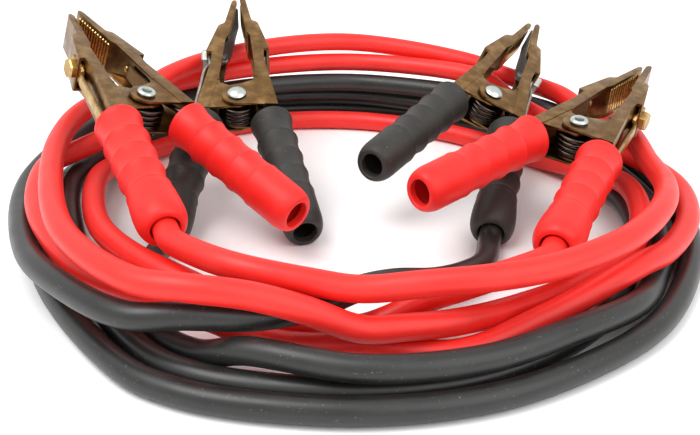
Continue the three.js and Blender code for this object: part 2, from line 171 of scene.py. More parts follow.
def make_camera():
    data = bpy.data.cameras.new("photo_camera")
    data.sensor_width = SENSOR
    data.lens = FOCAL_PIXELS * SENSOR / PICTURE_WIDTH
    camera = bpy.data.objects.new("photo_camera", data)
    camera.location = Vector(EYE) * MM
    aim = (Matrix.Rotation(math.radians(-LOOK_RIGHT), 4, "Z")
           @ Matrix.Rotation(math.radians(90 - LOOK_DOWN), 4, "X")
           @ Matrix.Rotation(math.radians(CAMERA_ROLL), 4, "Z"))
    camera.rotation_euler = aim.to_euler()
    bpy.context.collection.objects.link(camera)
    bpy.context.scene.camera = camera


# Colours and node helpers


def colour(hex_text):
    channels = [int(hex_text[i : i + 2], 16) / 255 for i in (1, 3, 5)]
    linear = [c / 12.92 if c <= 0.04045 else ((c + 0.055) / 1.055) ** 2.4 for c in channels]
    return (*linear, 1.0)


def put(tree, kind, inputs=None, **settings):
    """Adds one node; an input is a value, or a (node, output) pair to link from."""
    node = tree.nodes.new(kind)
    for key, value in settings.items():
        setattr(node, key, value)
    for key, value in (inputs or {}).items():
        socket = node.inputs[key]
        if isinstance(value, tuple) and len(value) == 2 and isinstance(value[0], bpy.types.Node):
            tree.links.new(value[0].outputs[value[1]], socket)
        else:
            socket.default_value = value
    return node


def new_material(name):
    material = bpy.data.materials.new(name)
    material.use_nodes = True
    tree = material.node_tree
    tree.nodes.clear()
    return material, tree


def close_material(tree, shader):
    put(tree, "ShaderNodeOutputMaterial", {"Surface": (shader, "BSDF")})


def ramp(tree, factor, stops):
    node = put(tree, "ShaderNodeValToRGB", {"Fac": factor})
    node.color_ramp.elements[0].position = stops[0][0]
    node.color_ramp.elements[0].color = colour(stops[0][1])
    node.color_ramp.elements[1].position = stops[-1][0]
    node.color_ramp.elements[1].color = colour(stops[-1][1])
    for position, shade in stops[1:-1]:
        node.color_ramp.elements.new(position).color = colour(shade)
    return node


# Materials


def rubber(name, base, shade, light, roughness, gloss, dust):
    """Soft PVC: a satin skin with faint mottling, which reads as moulded plastic that was handled."""
    material, tree = new_material(name)
    place = put(tree, "ShaderNodeTexCoord")
    broad = put(tree, "ShaderNodeTexNoise", {"Vector": (place, "Object"), "Scale": 55.0,
                                             "Detail": 3.0, "Roughness": 0.6})
    tint = ramp(tree, (broad, "Fac"), [(0.3, shade), (0.5, base), (0.72, light)])
    fine = put(tree, "ShaderNodeTexNoise", {"Vector": (place, "Object"), "Scale": 2300.0,
                                            "Detail": 2.0})
    specks = put(tree, "ShaderNodeTexNoise", {"Vector": (place, "Object"), "Scale": 900.0,
                                              "Detail": 1.0})
    speck = put(tree, "ShaderNodeMapRange", {"Value": (specks, "Fac"), "From Min": 0.70,
                                             "From Max": 0.78, "To Max": dust})
    coat = put(tree, "ShaderNodeMix", {"Factor": (speck, "Result"), "A": (tint, "Color"),
                                       "B": colour("#9A938C")}, data_type="RGBA")
    bump = put(tree, "ShaderNodeBump", {"Height": (fine, "Fac"), "Strength": 0.12,
                                        "Distance": 0.0001})
    rough = put(tree, "ShaderNodeMapRange", {"Value": (broad, "Fac"), "From Min": 0.3,
                                             "From Max": 0.7, "To Min": roughness - 0.05,
                                             "To Max": roughness + 0.06})
    shader = put(tree, "ShaderNodeBsdfPrincipled", {"Base Color": (coat, "Result"),
                                                    "Roughness": (rough, "Result"),
                                                    "Specular IOR Level": gloss,
                                                    "Normal": (bump, "Normal")})
    close_material(tree, shader)
    return material


def metal(name, stops, roughness, scratch):
    """Plated or bare metal: tones from a mottled plating and fine drawn lines along the clamp."""
    material, tree = new_material(name)
    place = put(tree, "ShaderNodeAttribute", attribute_name="local_mm")
    broad = put(tree, "ShaderNodeTexNoise", {"Vector": (place, "Vector"), "Scale": 0.12,
                                             "Detail": 4.0, "Roughness": 0.6})
    tint = ramp(tree, (broad, "Fac"), stops)
    stretch = put(tree, "ShaderNodeVectorMath", {0: (place, "Vector"), 1: (2.6, 0.12, 0.12)},
                  operation="MULTIPLY")
    lines = put(tree, "ShaderNodeTexNoise", {"Vector": (stretch, "Vector"), "Scale": 1.6,
                                             "Detail": 4.0})
    bump = put(tree, "ShaderNodeBump", {"Height": (lines, "Fac"), "Strength": scratch,
                                        "Distance": 0.0002})
    rough = put(tree, "ShaderNodeMapRange", {"Value": (lines, "Fac"), "From Min": 0.3,
                                             "From Max": 0.7, "To Min": roughness - 0.07,
                                             "To Max": roughness + 0.08})
    shader = put(tree, "ShaderNodeBsdfPrincipled", {"Base Color": (tint, "Color"),
                                                    "Metallic": 1.0,
                                                    "Roughness": (rough, "Result"),
                                                    "Normal": (bump, "Normal")})
    close_material(tree, shader)
    return material


def braid(name, stops):
    """Woven copper braid: two crossing sets of fine strands, tinned or bronze, with painted shade in
    the hollows between them.
    """
    material, tree = new_material(name)
    place = put(tree, "ShaderNodeAttribute", attribute_name="local_mm")
    heights = []
    for lean in (1.0, -1.0):
        turned = put(tree, "ShaderNodeVectorRotate", {"Vector": (place, "Vector"),
                                                      "Axis": (1.0, 0.0, 0.0),
                                                      "Angle": math.radians(38) * lean})
        heights.append(put(tree, "ShaderNodeTexWave", {"Vector": (turned, "Vector"),
                                                       "Scale": 0.55, "Distortion": 0.8,
                                                       "Detail": 1.0}, bands_direction="Z"))
    weave_and_hollow_shade = put(tree, "ShaderNodeMath", {0: (heights[0], "Fac"), 1: (heights[1], "Fac")},
                operation="MULTIPLY")
    # The ramp runs dark in the weave's hollows: painted shade between the strands, over the metal's
    # own tone
    tint = ramp(tree, (weave_and_hollow_shade, "Value"), stops)
    bump = put(tree, "ShaderNodeBump", {"Height": (weave_and_hollow_shade, "Value"), "Strength": 0.8,
                                        "Distance": 0.0004})
    shader = put(tree, "ShaderNodeBsdfPrincipled", {"Base Color": (tint, "Color"),
                                                    "Metallic": 0.7, "Roughness": 0.5,
                                                    "Normal": (bump, "Normal")})
    close_material(tree, shader)
    return material


def make_materials():
    return {
        "red_grip": rubber("red_pvc_grip", "#E8241E", "#E0201B", "#EC2A24", 0.48, 0.38, 0.0),
        "black_grip": rubber("black_pvc_grip", "#31302D", "#2B2A28", "#383733", 0.52, 0.34, 0.3),
        "red_jacket": rubber("red_pvc_jacket", "#E9261F", "#E1221C", "#ED2C25", 0.42, 0.45, 0.0),
        "black_jacket": rubber("black_pvc_jacket", "#20201F", "#1B1B1A", "#252524", 0.38, 0.52, 0.3),
        # Yellow-passivated zinc on pressed steel: its own brass colour painted down to brown, a
        # painted dark reflection of the surroundings; brassy where light rakes it
        "plated": metal("plated_steel_painted_dark_reflection",
                        [(0.3, "#6B5032"), (0.5, "#836440"), (0.7, "#A48358")], 0.34, 0.2),
        # The sheared edges of the sheet and the biting ridges in brighter gold: a painted highlight
        # where they catch the light
        "edge_highlight": metal("plated_edge_painted_highlight",
                          [(0.3, "#C9A15C"), (0.5, "#DDB873"), (0.7, "#EBCB8B")], 0.28, 0.2),
        "zinc": metal("bright_zinc_rivet",
                      [(0.3, "#B9C0BC"), (0.5, "#CDD3CE"), (0.7, "#DEE3DF")], 0.3, 0.15),
        "yellow_zinc": metal("yellow_zinc_fastener",
                             [(0.3, "#94733F"), (0.5, "#B08F56"), (0.7, "#CDB079")], 0.34, 0.15),
        "dull_zinc": metal("dull_zinc_fastener",
                           [(0.3, "#8D8F8A"), (0.5, "#A9ABA5"), (0.7, "#C2C3BC")], 0.36, 0.15),
        # Oiled, browned spring wire: nearly black with tight highlights
        "spring": metal("browned_spring_steel",
                        [(0.3, "#3A302C"), (0.5, "#4A3F39"), (0.7, "#5A4D45")], 0.24, 0.05),
        "bushing": metal("oiled_black_bushing",
                         [(0.3, "#2B2A2B"), (0.5, "#38383A"), (0.7, "#474749")], 0.22, 0.05),
        # Each braid ramp runs from painted shade in the hollows up to the tin or bronze colour of the
        # strands
        "tinned_braid": braid("dull_tinned_braid",
                              [(0.0, "#2C2E2D"), (0.35, "#5A5D5B"), (0.8, "#8D918E")]),
        "bronze_braid": braid("bronze_braid",
                              [(0.0, "#4A3720"), (0.35, "#8A6B40"), (0.8, "#C29D63")]),
    }


# Shapes: every one is built in a clamp's own millimetres, or the set's, and baked into place


def clamp_matrix(spec):
    yaw, pitch, roll = (math.radians(a) for a in spec["turn"])
    turn = (Matrix.Rotation(yaw, 4, "Z") @ Matrix.Rotation(pitch, 4, "X")
            @ Matrix.Rotation(roll, 4, "Y"))
    return Matrix.Translation(Vector(spec["pivot"])) @ turn


def mesh_of(name, vertices, faces):
    mesh = bpy.data.meshes.new(name)
    mesh.from_pydata([tuple(v) for v in vertices], [], faces)
    mesh.update()
    return mesh


def tidy(mesh, merge=0.0005):
    work = bmesh.new()
    work.from_mesh(mesh)
    bmesh.ops.remove_doubles(work, verts=work.verts, dist=merge)
    bmesh.ops.recalc_face_normals(work, faces=work.faces)
    work.to_mesh(mesh)
    work.free()
    return mesh


def prism(name, outline, low, high):
    """A plate: the outline lies in XY and runs from low to high along Z."""
    count = len(outline)
    vertices = [(x, y, low) for x, y in outline] + [(x, y, high) for x, y in outline]
    faces = [tuple(range(count)), tuple(range(count, 2 * count))]
    for i in range(count):
        after = (i + 1) % count
        faces.append((i, after, count + after, count + i))
    return tidy(mesh_of(name, vertices, faces))


def loft(name, rings, closed=False):
    """Skins a list of rings with as many points each; open runs get end caps."""
    count = len(rings[0])
    vertices = [p for ring in rings for p in ring]
    faces = []
    last = len(rings) if closed else len(rings) - 1
    for i in range(last):
        start = i * count
        above = ((i + 1) % len(rings)) * count
        for j in range(count):
            after = (j + 1) % count
            faces.append((start + j, start + after, above + after, above + j))
    if not closed:
        faces.append(tuple(range(count)))
        faces.append(tuple(range((len(rings) - 1) * count, len(rings) * count)))
    return tidy(mesh_of(name, vertices, faces))


def lathe(name, profile, sides, axis="Z"):
    """Turns a profile of (radius, height) about an axis; it may close at the axis."""
    rings = []
    for radius, height in profile:
        ring = []
        for j in range(sides):
            angle = 2 * math.pi * j / sides
            across = (max(radius, 0.0) * math.cos(angle), max(radius, 0.0) * math.sin(angle))
            if axis == "Z":
                ring.append((across[0], across[1], height))
            else:
                ring.append((height, across[0], across[1]))
        rings.append(ring)
    return loft(name, rings)


def frames_along(points):
    """Rotation-minimising frames: the side and up directions at each point of a path."""
    points = np.array(points, float)
    tangents = np.gradient(points, axis=0)
    tangents /= np.linalg.norm(tangents, axis=1)[:, None]
    up = np.array([0.0, 0.0, 1.0])
    if abs(tangents[0][2]) > 0.9:
        up = np.array([0.0, 1.0, 0.0])
    side = np.cross(tangents[0], up)
    side /= np.linalg.norm(side)
    sides = [side]
    for i in range(1, len(points)):
        side = sides[-1] - tangents[i] * np.dot(sides[-1], tangents[i])
        sides.append(side / np.linalg.norm(side))
    sides = np.array(sides)
    return sides, np.cross(sides, tangents)


def tube(name, points, radius, sides):
    radii = np.broadcast_to(radius, (len(points),))
    across, up = frames_along(points)
    rings = []
    for place, a, b, r in zip(np.array(points, float), across, up, radii):
        rings.append([place + r * (math.cos(t) * a + math.sin(t) * b)
                      for t in (2 * math.pi * j / sides for j in range(sides))])
    return loft(name, rings)


def ribbon(name, points, wide, thick):
    """A flat strip along a path, with softly rounded edges; its width lies along Z."""
    points = np.array(points, float)
    tangents = np.gradient(points, axis=0)
    tangents /= np.linalg.norm(tangents, axis=1)[:, None]
    widths = np.broadcast_to(wide, (len(points),))
    thicks = np.broadcast_to(thick, (len(points),))
    flat = np.array([0.0, 0.0, 1.0])
    rings = []
    for place, along, w, t in zip(points, tangents, widths, thicks):
        out = np.cross(along, flat)
        out /= np.linalg.norm(out)
        soft = min(w, t) * 0.28
        corners = []
        for sw, st in ((1, 1), (-1, 1), (-1, -1), (1, -1)):
            first = (sw * (w / 2 - soft), st * t / 2)
            second = (sw * w / 2, st * (t / 2 - soft))
            corners += [second, first] if sw * st > 0 else [first, second]
        rings.append([place + a * flat + b * out for a, b in corners])
    return loft(name, rings)


def smooth_line(points, count):
    """A uniform Catmull-Rom line through a few given points."""
    points = [np.array(p, float) for p in points]
    ends = [2 * points[0] - points[1], *points, 2 * points[-1] - points[-2]]
    line = []
    spans = len(points) - 1
    for i in range(count + 1):
        at = min(i / count * spans, spans - 1e-6)
        k = int(at)
        t = at - k
        a, b, c, d = ends[k : k + 4]
        line.append(0.5 * (2 * b + (c - a) * t + (2 * a - 5 * b + 4 * c - d) * t * t
                           + (3 * b - a - 3 * c + d) * t ** 3))
    return line


def combine(base, others, operation):
    """Cuts or welds whole solids with the Boolean modifier."""
    body = bpy.data.objects.new("body", base)
    bpy.context.collection.objects.link(body)
    tools = []
    for other in others:
        tool = bpy.data.objects.new("tool", other)
        bpy.context.collection.objects.link(tool)
        tools.append(tool)
        change = body.modifiers.new("change", "BOOLEAN")
        change.operation = operation
        change.solver = "EXACT"
        change.object = tool
    graph = bpy.context.evaluated_depsgraph_get()
    result = bpy.data.meshes.new_from_object(body.evaluated_get(graph))
    for extra in [body, *tools]:
        bpy.data.objects.remove(extra)
    return result


def joined(meshes):
    """One mesh from several that only touch or sit in each other, keeping their materials."""
    work = bmesh.new()
    materials = []
    for mesh in meshes:
        places = []
        for material in mesh.materials:
            if material not in materials:
                materials.append(material)
            places.append(materials.index(material))
        before = len(work.faces)
        work.from_mesh(mesh)
        work.faces.ensure_lookup_table()
        for face in work.faces[before:]:
            face.material_index = places[face.material_index] if places else 0
    result = bpy.data.meshes.new("joined")
    work.to_mesh(result)
    work.free()
    for material in materials:
        result.materials.append(material)
    return result


def piece(name, mesh, materials, body, matrix=None, nodes=()):
    """The finished object: its local place is kept as an attribute, then it is baked in place."""
    while len(mesh.materials) < len(materials):
        mesh.materials.append(None)
    for i, material in enumerate(materials):
        mesh.materials[i] = material
    places = np.array([v.co for v in mesh.vertices], np.float32)
    local = mesh.attributes.new("local_mm", "FLOAT_VECTOR", "POINT")
    local.data.foreach_set("vector", places.ravel())
    mesh.transform(Matrix.Scale(MM, 4) @ (matrix or Matrix.Identity(4)))
    mesh.shade_smooth()
    mesh.set_sharp_from_angle(angle=math.radians(SHARP_ANGLE))
    made = bpy.data.objects.new(name, mesh)
    bpy.context.collection.objects.link(made)
    if body:
        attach(made, body)
    if nodes:
        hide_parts(*nodes)
    return made


# Clamp pieces, each in the clamp's own frame


def web_at(y):
    """X of the outer face of the channel, which leans outwards towards the grip."""
    return max(WEB_X - WEB_LEAN * y, SEAT_X)


SEAT_LOW = (WEB_X - SEAT_X) / WEB_LEAN


def turned(outline, side):
    return [(side * x, y) for x, y in outline]


def jaw_outline():
    ear = []
    for i in range(17):
        angle = math.radians(112 + 158 * i / 16)
        ear.append((EAR_ROUND * math.cos(angle), EAR_ROUND * math.sin(angle)))
    return [
        (0.9, JAW_END - 3.0), (1.6, JAW_END - 0.6), (2.6, JAW_END), (3.8, JAW_END - 0.8),
        (4.6, JAW_END - 3.0), (8.4, 73.0), (9.6, 71.6), (10.8, 71.2), (12.4, 69.6), (13.2, 67.0),
        (19.4, STEP_Y + 1.0), (19.0, STEP_Y), (SEAT_X, STEP_Y), (SEAT_X, SEAT_LOW),
        (web_at(-10), -10.0), (12.0, -9.3), (0.0, EAR_FRONT - 0.8),
        *reversed(ear), (3.0, 9.6), (web_at(14) - 9.4, 13.2), (web_at(20) - STRIP_WIDE, 19.6),
        (9.4, SEAT_LOW + 1.0), (7.6, 56.0), (5.6, 60.0),
    ]


def inside_of_web():
    """The room between the cheeks, in front of the web and the biting plate."""
    return [
        (web_at(-16) - SHEET, -16.0), (web_at(20) - SHEET, 20.0), (SEAT_X - SHEET, SEAT_LOW),
        (SEAT_X - SHEET, 47.5), (SEAT_X - SHEET - 0.6, 50.0), (7.2, 57.6), (5.9, 60.2),
        (1.7, JAW_END - 4.6), (1.7, JAW_END + 5), (-40.0, JAW_END + 5), (-40.0, -16.0),
    ]


def behind_the_bite():
    """The room between the biting plate and the outer wall of the shoulder."""
    return [
        (17.6, STEP_Y - 3), (17.6, STEP_Y + 1.2), (11.4, 66.6), (10.8, 68.6), (7.2, 71.6),
        (4.6, 84.0), (7.9, 63.0), (9.2, 60.0), (SEAT_X, 53.0), (SEAT_X, STEP_Y - 3),
    ]


def recess_of_cheek():
    """The cheek is pressed a little lower than the strip along its outer edge."""
    return [
        (web_at(-30) - STRIP_WIDE, -30.0), (web_at(16) - STRIP_WIDE, 16.0), (-60.0, 16.0),
        (-60.0, -30.0),
    ]


def handle_outline():
    high = web_at(-4) - HANDLE_GAP
    low = web_at(HANDLE_END) - HANDLE_GAP
    return [(high, -4.0), (low, HANDLE_END), (low - HANDLE_DEEP + HANDLE_GAP, HANDLE_END),
            (high - HANDLE_DEEP + HANDLE_GAP, -4.0)]


def jaw_mesh(side, fastener):
    lift = side * (SHEET + 0.5) / 2
    high = CHANNEL / 2 + lift
    low = -CHANNEL / 2 + lift
    half = HANDLE_TALL / 2
    body = prism("jaw", turned(jaw_outline(), side), low, high)
    handle = prism("handle", turned(handle_outline(), side), -half, half)
    body = combine(body, [handle], "UNION")
    inner = [
        prism("room", turned(inside_of_web(), side), low + SHEET, high - SHEET),
        prism("wing", turned(behind_the_bite(), side), low + SHEET, high - SHEET),
        prism("top", turned(recess_of_cheek(), side), high - 0.45, high + 5),
        prism("foot", turned(recess_of_cheek(), side), low - 5, low + 0.45),
        prism("grip_room", turned([(web_at(-2) - SHEET, -2.0),
                                   (web_at(HANDLE_END) - SHEET, HANDLE_END - 5),
                                   (web_at(HANDLE_END) - 20, HANDLE_END - 5),
                                   (web_at(-2) - 20, -2.0)], side),
              -half + SHEET, half - SHEET),
    ]
    drill = lathe("drill", [(3.3, -20), (3.3, 20)], 24)
    cross = lathe("cross", [(fastener, side * 10.0), (fastener, side * 26.0)], 20, axis="X")
    for vertex in cross.vertices:
        vertex.co.y += BOLT_Y
    body = combine(body, [*inner, drill, cross], "DIFFERENCE")
    return finish_sheet(body, side)


def finish_sheet(mesh, side):
    """Rounds the folds, eases the sheared edges and gives them the painted edge highlight."""
    work = bmesh.new()
    work.from_mesh(mesh)
    bmesh.ops.remove_doubles(work, verts=work.verts, dist=0.002)
    bmesh.ops.dissolve_limit(work, angle_limit=math.radians(1), verts=work.verts,
                             edges=work.edges)

    def tall(face):
        heights = [v.co.z for v in face.verts]
        return max(heights) - min(heights)

    # Thin upright inner faces, the sheared edges, take slot 1: the painted edge highlight
    for face in work.faces:
        upright = abs(face.normal.z) < 0.5
        outward = face.normal.x * side > 0.3
        face.material_index = 1 if upright and not outward and tall(face) < 1.3 * SHEET else 0
    folds = []
    for edge in work.edges:
        if len(edge.link_faces) != 2 or edge.calc_length() < 4.0:
            continue
        flat = [f for f in edge.link_faces if abs(f.normal.z) > 0.9]
        wall = [f for f in edge.link_faces if f.normal.x * side > 0.6 and tall(f) > 8]
        if len(flat) == 1 and len(wall) == 1:
            folds.append(edge)
    bmesh.ops.bevel(work, geom=folds, offset=FOLD_ROUND, segments=3, profile=0.5, affect="EDGES",
                    clamp_overlap=True, material=0)
    sheared = [e for e in work.edges if len(e.link_faces) == 2
               and e.calc_face_angle(0.0) > math.radians(38)]
    bmesh.ops.bevel(work, geom=sheared, offset=EDGE_ROUND, segments=2, profile=0.6, affect="EDGES",
                    clamp_overlap=True, material=-1)
    bmesh.ops.triangulate(work, faces=[f for f in work.faces if len(f.verts) > 4])
    bmesh.ops.recalc_face_normals(work, faces=work.faces)
    work.to_mesh(mesh)
    work.free()
    return mesh


def ridges_mesh(side, material):
    """The pressed ridges of the biting face, set out by Geometry Nodes."""
    lift = side * (SHEET + 0.5) / 2
    reach = CHANNEL / 2 - SHEET - 0.4
    ridge = tube("ridge", [(0, 0, z) for z in (-reach, -reach + 0.8, reach - 0.8, reach)],
                 [0.3, 0.95, 0.95, 0.3], 8)
    holder = bpy.data.objects.new("ridge", ridge)
    bpy.context.collection.objects.link(holder)
    tree = bpy.data.node_groups.new("ridges", "GeometryNodeTree")
    tree.interface.new_socket("Geometry", in_out="OUTPUT", socket_type="NodeSocketGeometry")
    line = put(tree, "GeometryNodeMeshLine", {"Count": BITE_RIDGES}, mode="END_POINTS")
    line.inputs["Start Location"].default_value = (side * 6.2, BITE_LOW, lift)
    line.inputs["Offset"].default_value = (side * 1.9, BITE_HIGH, lift)
    shape = put(tree, "GeometryNodeObjectInfo", {"Object": holder})
    copies = put(tree, "GeometryNodeInstanceOnPoints", {"Points": (line, "Mesh"),
                                                        "Instance": (shape, "Geometry")})
    real = put(tree, "GeometryNodeRealizeInstances", {"Geometry": (copies, "Instances")})
    painted = put(tree, "GeometryNodeSetMaterial", {"Geometry": (real, "Geometry"),
                                                    "Material": material})
    put(tree, "NodeGroupOutput", {"Geometry": (painted, "Geometry")})
    carrier = bpy.data.objects.new("carrier", bpy.data.meshes.new("carrier"))
    bpy.context.collection.objects.link(carrier)
    carrier.modifiers.new("ridges", "NODES").node_group = tree
    graph = bpy.context.evaluated_depsgraph_get()
    mesh = bpy.data.meshes.new_from_object(carrier.evaluated_get(graph))
    bpy.data.objects.remove(carrier)
    bpy.data.objects.remove(holder)
    return mesh


def grip_mesh(side, holds_cable):
    """Dipped sleeve: tapering steps with a thin raised line at each, a rolled rim, a round end."""
    rim = np.array([side * GRIP_RIM[0], GRIP_RIM[1], 0.0])
    end = np.array([side * GRIP_END[0], GRIP_END[1], 0.0])
    length = float(np.linalg.norm(end - rim))
    along = (end - rim) / length
    across = np.array([-along[1], along[0], 0.0])
    up = np.array([0.0, 0.0, 1.0])

    def scale_at(t):
        """Share of the full width at a distance from the rim."""
        if t < 3.0:
            return 1.0 + 0.07 * math.cos(t / 3.0 * math.pi / 2)
        step = 1.0
        for k, line in enumerate(GRIP_LINES):
            before = GRIP_LINES[k - 1] if k else 4.0
            if before <= t < line:
                share = (t - before) / (line - before)
                step = 1.0 - 0.055 * math.sin(share * math.pi) - 0.012 * share
        return step * (1.0 - 0.045 * t / length)

    def swell(t):
        """The end that holds a cable is a fuller bulb with a neck before it."""
        if not holds_cable:
            return 1.0
        bulb = math.exp(-(((t - length + 11) / 11) ** 2))
        neck = math.exp(-(((t - length + 30) / 8) ** 2))
        return 1.0 + 0.08 * bulb - 0.05 * neck

    round_from = length - GRIP_ROUND
    hole_wide, hole_tall = CABLE_HOLE if holds_cable else OPEN_HOLE
    rings = []
    sides = 64

    def ring(t, wide, tall):
        return [rim + along * t + across * (wide * math.cos(a)) + up * (tall * math.sin(a))
                for a in (2 * math.pi * j / sides for j in range(sides))]

    inner = GRIP_HOLLOW
    rings.append(ring(26.0, GRIP_WIDE * inner, GRIP_TALL * inner))
    rings.append(ring(1.2, GRIP_WIDE * inner, GRIP_TALL * inner))
    rings.append(ring(0.2, GRIP_WIDE * (inner + 0.04), GRIP_TALL * (inner + 0.04)))
    rings.append(ring(0.0, GRIP_WIDE * 0.93, GRIP_TALL * 0.93))
    for t in np.arange(0.0, round_from, 1.0):
        share = scale_at(t) * swell(t)
        share_tall = scale_at(t) * min(1.0, swell(t))
        raised = 0.0
        for line in GRIP_LINES:
            raised = max(raised, GRIP_LINE_TALL * math.exp(-(((t - line) / GRIP_LINE_WIDE) ** 2)))
        rings.append(ring(t, GRIP_WIDE * share + raised, GRIP_TALL * share_tall + raised))
    last = scale_at(round_from) * swell(round_from)
    last_tall = scale_at(round_from) * min(1.0, swell(round_from))
    for i in range(1, 10):
        a = i / 10 * math.pi / 2
        share_out = math.cos(a)
        wide = hole_wide + 1.2 + (GRIP_WIDE * last - hole_wide - 1.2) * share_out
        tall = hole_tall + 1.2 + (GRIP_TALL * last_tall - hole_tall - 1.2) * share_out
        rings.append(ring(round_from + GRIP_ROUND * math.sin(a), wide, tall))
    rings.append(ring(length - 0.1, hole_wide + 0.5, hole_tall + 0.5))
    rings.append(ring(length - 0.6, hole_wide, hole_tall))
    rings.append(ring(length - 4.0, hole_wide, hole_tall))
    rings.append(ring(length - 8.0, GRIP_WIDE * inner, GRIP_TALL * inner))
    rings.append(ring(28.0, GRIP_WIDE * inner, GRIP_TALL * inner))
    return loft("grip", rings, closed=True)


def rivet_mesh(hollow_up):
    reach = (CHANNEL + SHEET + 0.5) / 2 + 0.25
    dome = [(0.0, reach + 2.3), (1.6, reach + 2.2), (3.1, reach + 1.8), (4.3, reach + 1.15),
            (5.1, reach + 0.5), (RIVET_HEAD, reach + 0.12), (RIVET_HEAD - 0.1, reach), (3.0, reach)]
    rolled = [(3.0, -reach), (4.7, -reach), (4.95, -reach - 0.5), (4.7, -reach - 1.2),
              (4.0, -reach - 1.7), (3.2, -reach - 1.75), (2.6, -reach - 1.4), (2.3, -reach - 0.6),
              (2.3, -reach + 3.0), (0.0, -reach + 3.0)]
    mesh = lathe("rivet", dome + rolled, 40)
    if hollow_up:
        mesh.transform(Matrix.Rotation(math.pi, 4, "X"))
    return mesh


def bushing_mesh():
    return lathe("bushing", [(3.1, -7.0), (5.2, -7.0), (5.4, -6.7), (5.4, 6.7), (5.2, 7.0),
                             (3.1, 7.0)], 32)


def spring_mesh():
    sweep = SPRING_TURNS * 2 * math.pi + math.pi - 2 * SPRING_SPLAY
    climb = 2.9 * sweep / (2 * math.pi)
    begin = math.pi - SPRING_SPLAY
    points = []

    def on_coil(angle, height, over):
        return (SPRING_ROUND * math.cos(angle) + over * math.sin(angle),
                SPRING_ROUND * math.sin(angle) - over * math.cos(angle), height)

    for i in range(12):
        points.append(on_coil(begin, -climb / 2, -SPRING_LEG * (1 - i / 12)))
    for i in range(145):
        share = i / 144
        points.append(on_coil(begin - share * sweep, climb * (share - 0.5), 0.0))
    for i in range(1, 13):
        points.append(on_coil(begin - sweep, climb / 2, SPRING_LEG * i / 12))
    return tube("spring", points, SPRING_WIRE, 14)


def hexagon(radius, x):
    return [(x, radius * math.cos(a), radius * math.sin(a))
            for a in (math.pi * j / 3 + math.pi / 6 for j in range(6))]


def bolt_mesh(side):
    """A hex head with a chamfered crown, and a threaded shank through the web."""
    edge = web_at(BOLT_Y)
    seat = edge + LUG_THICK + 0.6
    corner = BOLT_FLATS / math.sqrt(3)
    head = loft("head", [hexagon(corner * 0.93, side * seat), hexagon(corner, side * (seat + 0.3)),
                         hexagon(corner, side * (seat + BOLT_HEAD - 0.8)),
                         hexagon(corner * 0.86, side * (seat + BOLT_HEAD))])
    profile = []
    pitch = 1.0
    turns = int((LUG_THICK + 9.0) / pitch)
    for i in range(turns + 1):
        x = edge - 9.0 + i * pitch
        profile += [(2.45, side * x), (2.9, side * (x + 0.5 * pitch))]
    shank = lathe("shank", [(1.9, side * (edge - 9.5)), *profile, (2.6, side * (seat + 0.2))], 24,
                  axis="X")
    mesh = joined([head, shank])
    mesh.transform(Matrix.Translation((0, BOLT_Y, 0)))
    return mesh


def lug_mesh(side):
    """Cable lug: a square palm under the bolt head and a formed tail down into the grip."""
    edge = web_at(BOLT_Y)
    middle = edge + 0.3 + LUG_THICK / 2
    palm = ribbon("palm", [(side * middle, y, 0) for y in (53.6, 50, 45, 40.8)], 11.0, LUG_THICK)
    low_y = GRIP_RIM[1] - 6
    line = smooth_line([(side * middle, 41.5, 0), (side * (middle + 0.3), 38.5, 0),
                        (side * (web_at(33.6) + 4.2), 33.0, 0),
                        (side * (web_at(15) + 3.2), 15.0, 0),
                        (side * (web_at(low_y) + 2.0), low_y, 0)], 28)
    widths = [11.0 - 5.2 * min(1.0, i / 6) for i in range(29)]
    tail = ribbon("tail", line, widths, 2.0)
    return joined([palm, tail])


def strap_mesh():
    """Braided strap: a loose U from the bolted jaw round to the other jaw."""
    clear = SHEET + 0.3 + 1.2
    top = BOLT_Y - 4.2
    half = [(SEAT_X - clear, top), (SEAT_X - clear, SEAT_LOW), (web_at(22) - clear - 0.3, 22.0),
            (9.0, 15.6), (0.0, 14.6)]
    line = [(-x, y, 0.0) for x, y in half] + [(x, y, 0.0) for x, y in reversed(half[:-1])]
    return ribbon("strap", smooth_line(line, 60), 9.0, 2.2)


def pin_mesh(side):
    edge = web_at(BOLT_Y)
    profile = [(0.0, edge - 4.2), (1.5, edge - 4.1), (2.0, edge - 3.6), (2.0, edge + 0.3),
               (3.4, edge + 0.3), (3.3, edge + 0.9), (2.4, edge + 1.5), (0.0, edge + 1.7)]
    mesh = lathe("pin", [(r, side * x) for r, x in profile], 24, axis="X")
    mesh.transform(Matrix.Translation((0, BOLT_Y, 0)))
    return mesh


def bite_cover_mesh(side):
    """On a black clamp the braid is laid over the biting face and runs down inside the jaw."""
    lift = side * (SHEET + 0.5) / 2
    line = smooth_line([(side * 0.9, JAW_END - 6, lift), (side * 2.6, 80.0, lift),
                        (side * 4.9, 62.0, lift), (side * 7.4, 55.0, lift),
                        (side * 11.6, 49.0, lift), (side * 12.6, 44.0, lift)], 40)
    widths = [15.0 - 5.0 * max(0.0, (i - 26) / 14) for i in range(41)]
    return ribbon("bite_cover", line, widths, 1.2)


